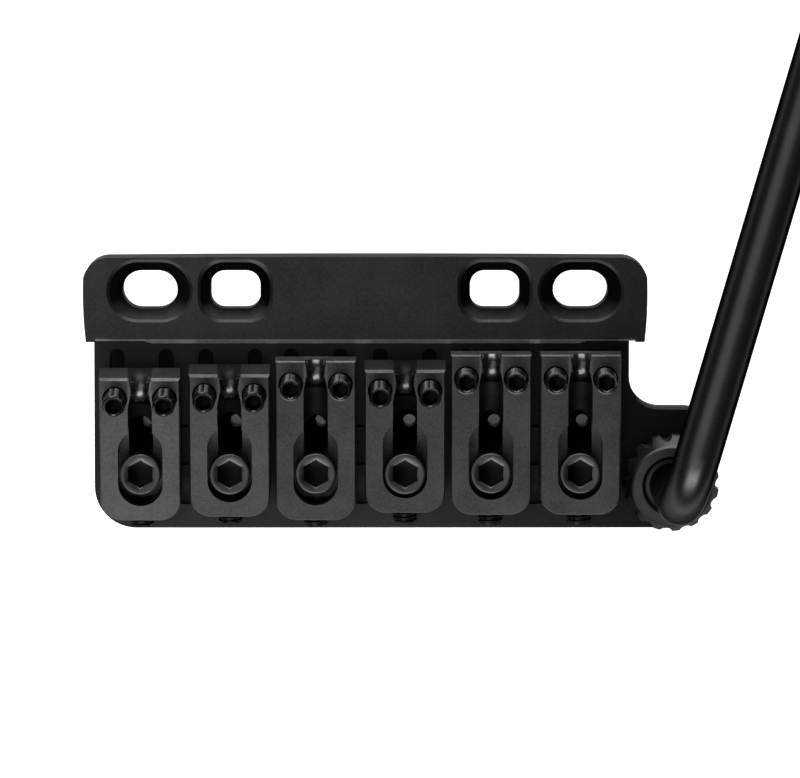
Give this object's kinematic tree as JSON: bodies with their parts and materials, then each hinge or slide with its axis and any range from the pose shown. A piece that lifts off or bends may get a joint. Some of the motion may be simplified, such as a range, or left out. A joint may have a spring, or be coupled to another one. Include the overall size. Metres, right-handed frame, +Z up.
{
  "type": "guitar tremolo bridge",
  "caption": "Blackened steel floating tremolo bridge with a slotted front plate, hinged base plate with block, screw-set pitched saddles, fluted arm knob and push-in arm.",
  "frame": {"origin": "centre of the front plate's underside, on the row of screw slots, where it rests on the instrument", "axes": "+X towards the arm side, +Y towards the neck, +Z up from the instrument's top"},
  "size_m": [0.117, 0.1513, 0.0782],
  "materials": {
    "front_plate": "satin blackened steel",
    "base_plate": "satin blackened steel",
    "block": "satin blackened steel",
    "saddle": "matte blasted blackened steel",
    "screws": "blackened machine screws",
    "pins": "ground steel",
    "bush": "plain bearing bronze",
    "knob": "satin blackened steel",
    "liner": "black nylon",
    "arm": "satin black rod",
    "tip": "matte black plastic"
  },
  "bodies": {
    "anchor": {"anchor_plate": "front_plate", "pivot_pin_left": "pins", "pivot_pin_right": "pins"},
    "bridge": {"base_plate": "base_plate", "sustain_block": "block", "block_screws": "screws", "pivot_bush_left": "bush", "pivot_bush_right": "bush", "arm_socket": "knob", "lock_screw_1": "screws", "lock_screw_2": "screws", "lock_screw_3": "screws", "lock_screw_4": "screws", "lock_screw_5": "screws", "lock_screw_6": "screws"},
    "knob": {"arm_knob": "knob"},
    "arm_carrier": {"arm_liner": "liner"},
    "arm_rod": {"arm": "arm", "arm_tip": "tip"},
    "carriage_1": {"height_screws_1": "screws"},
    "saddle_1": {"saddle_1": "saddle", "intonation_screw_1": "screws"},
    "carriage_2": {"height_screws_2": "screws"},
    "saddle_2": {"saddle_2": "saddle", "intonation_screw_2": "screws"},
    "carriage_3": {"height_screws_3": "screws"},
    "saddle_3": {"saddle_3": "saddle", "intonation_screw_3": "screws"},
    "carriage_4": {"height_screws_4": "screws"},
    "saddle_4": {"saddle_4": "saddle", "intonation_screw_4": "screws"},
    "carriage_5": {"height_screws_5": "screws"},
    "saddle_5": {"saddle_5": "saddle", "intonation_screw_5": "screws"},
    "carriage_6": {"height_screws_6": "screws"},
    "saddle_6": {"saddle_6": "saddle", "intonation_screw_6": "screws"}
  },
  "joints": [
    {"name": "bridge_pivot", "type": "hinge", "parent": "anchor", "child": "bridge", "pos_m": [0, -0.00475, 0.0031], "axis": [-1, 0, 0], "range_deg": [-3, 20]},
    {"name": "knob_turn", "type": "hinge", "parent": "bridge", "child": "knob", "pos_m": [0.0378, -0.02375, 0.008], "axis": [0, 0, 1], "range_deg": [-180, 180]},
    {"name": "arm_swing", "type": "hinge", "parent": "bridge", "child": "arm_carrier", "pos_m": [0.0378, -0.02375, 0.008], "axis": [0, 0, 1], "range_deg": [-90, 75]},
    {"name": "arm_pull_out", "type": "slide", "parent": "arm_carrier", "child": "arm_rod", "axis": [0, 0, 1], "range_m": [0, 0.01]},
    {"name": "intonation_1", "type": "slide", "parent": "bridge", "child": "carriage_1", "axis": [0, 1, 0], "range_m": [-0.002, 0.0006]},
    {"name": "height_1", "type": "hinge", "parent": "carriage_1", "child": "saddle_1", "pos_m": [-0.0277, -0.02673, 0.00553], "axis": [1, 0, 0], "range_deg": [-1.5, 1.5]},
    {"name": "intonation_2", "type": "slide", "parent": "bridge", "child": "carriage_2", "axis": [0, 1, 0], "range_m": [-0.002, 0.0005]},
    {"name": "height_2", "type": "hinge", "parent": "carriage_2", "child": "saddle_2", "pos_m": [-0.0167, -0.02627, 0.00553], "axis": [1, 0, 0], "range_deg": [-1.5, 1.5]},
    {"name": "intonation_3", "type": "slide", "parent": "bridge", "child": "carriage_3", "axis": [0, 1, 0], "range_m": [-0.002, 0.0006]},
    {"name": "height_3", "type": "hinge", "parent": "carriage_3", "child": "saddle_3", "pos_m": [-0.0061, -0.02696, 0.00553], "axis": [1, 0, 0], "range_deg": [-1.5, 1.5]},
    {"name": "intonation_4", "type": "slide", "parent": "bridge", "child": "carriage_4", "axis": [0, 1, 0], "range_m": [-0.002, 0.0001]},
    {"name": "height_4", "type": "hinge", "parent": "carriage_4", "child": "saddle_4", "pos_m": [0.0049, -0.02586, 0.00553], "axis": [1, 0, 0], "range_deg": [-1.5, 1.5]},
    {"name": "intonation_5", "type": "slide", "parent": "bridge", "child": "carriage_5", "axis": [0, 1, 0], "range_m": [-0.002, 0.0004]},
    {"name": "height_5", "type": "hinge", "parent": "carriage_5", "child": "saddle_5", "pos_m": [0.0155, -0.0264, 0.00553], "axis": [1, 0, 0], "range_deg": [-1.5, 1.5]},
    {"name": "intonation_6", "type": "slide", "parent": "bridge", "child": "carriage_6", "axis": [0, 1, 0], "range_m": [-0.002, 0.0004]},
    {"name": "height_6", "type": "hinge", "parent": "carriage_6", "child": "saddle_6", "pos_m": [0.0265, -0.0264, 0.00553], "axis": [1, 0, 0], "range_deg": [-1.5, 1.5]}
  ]
}
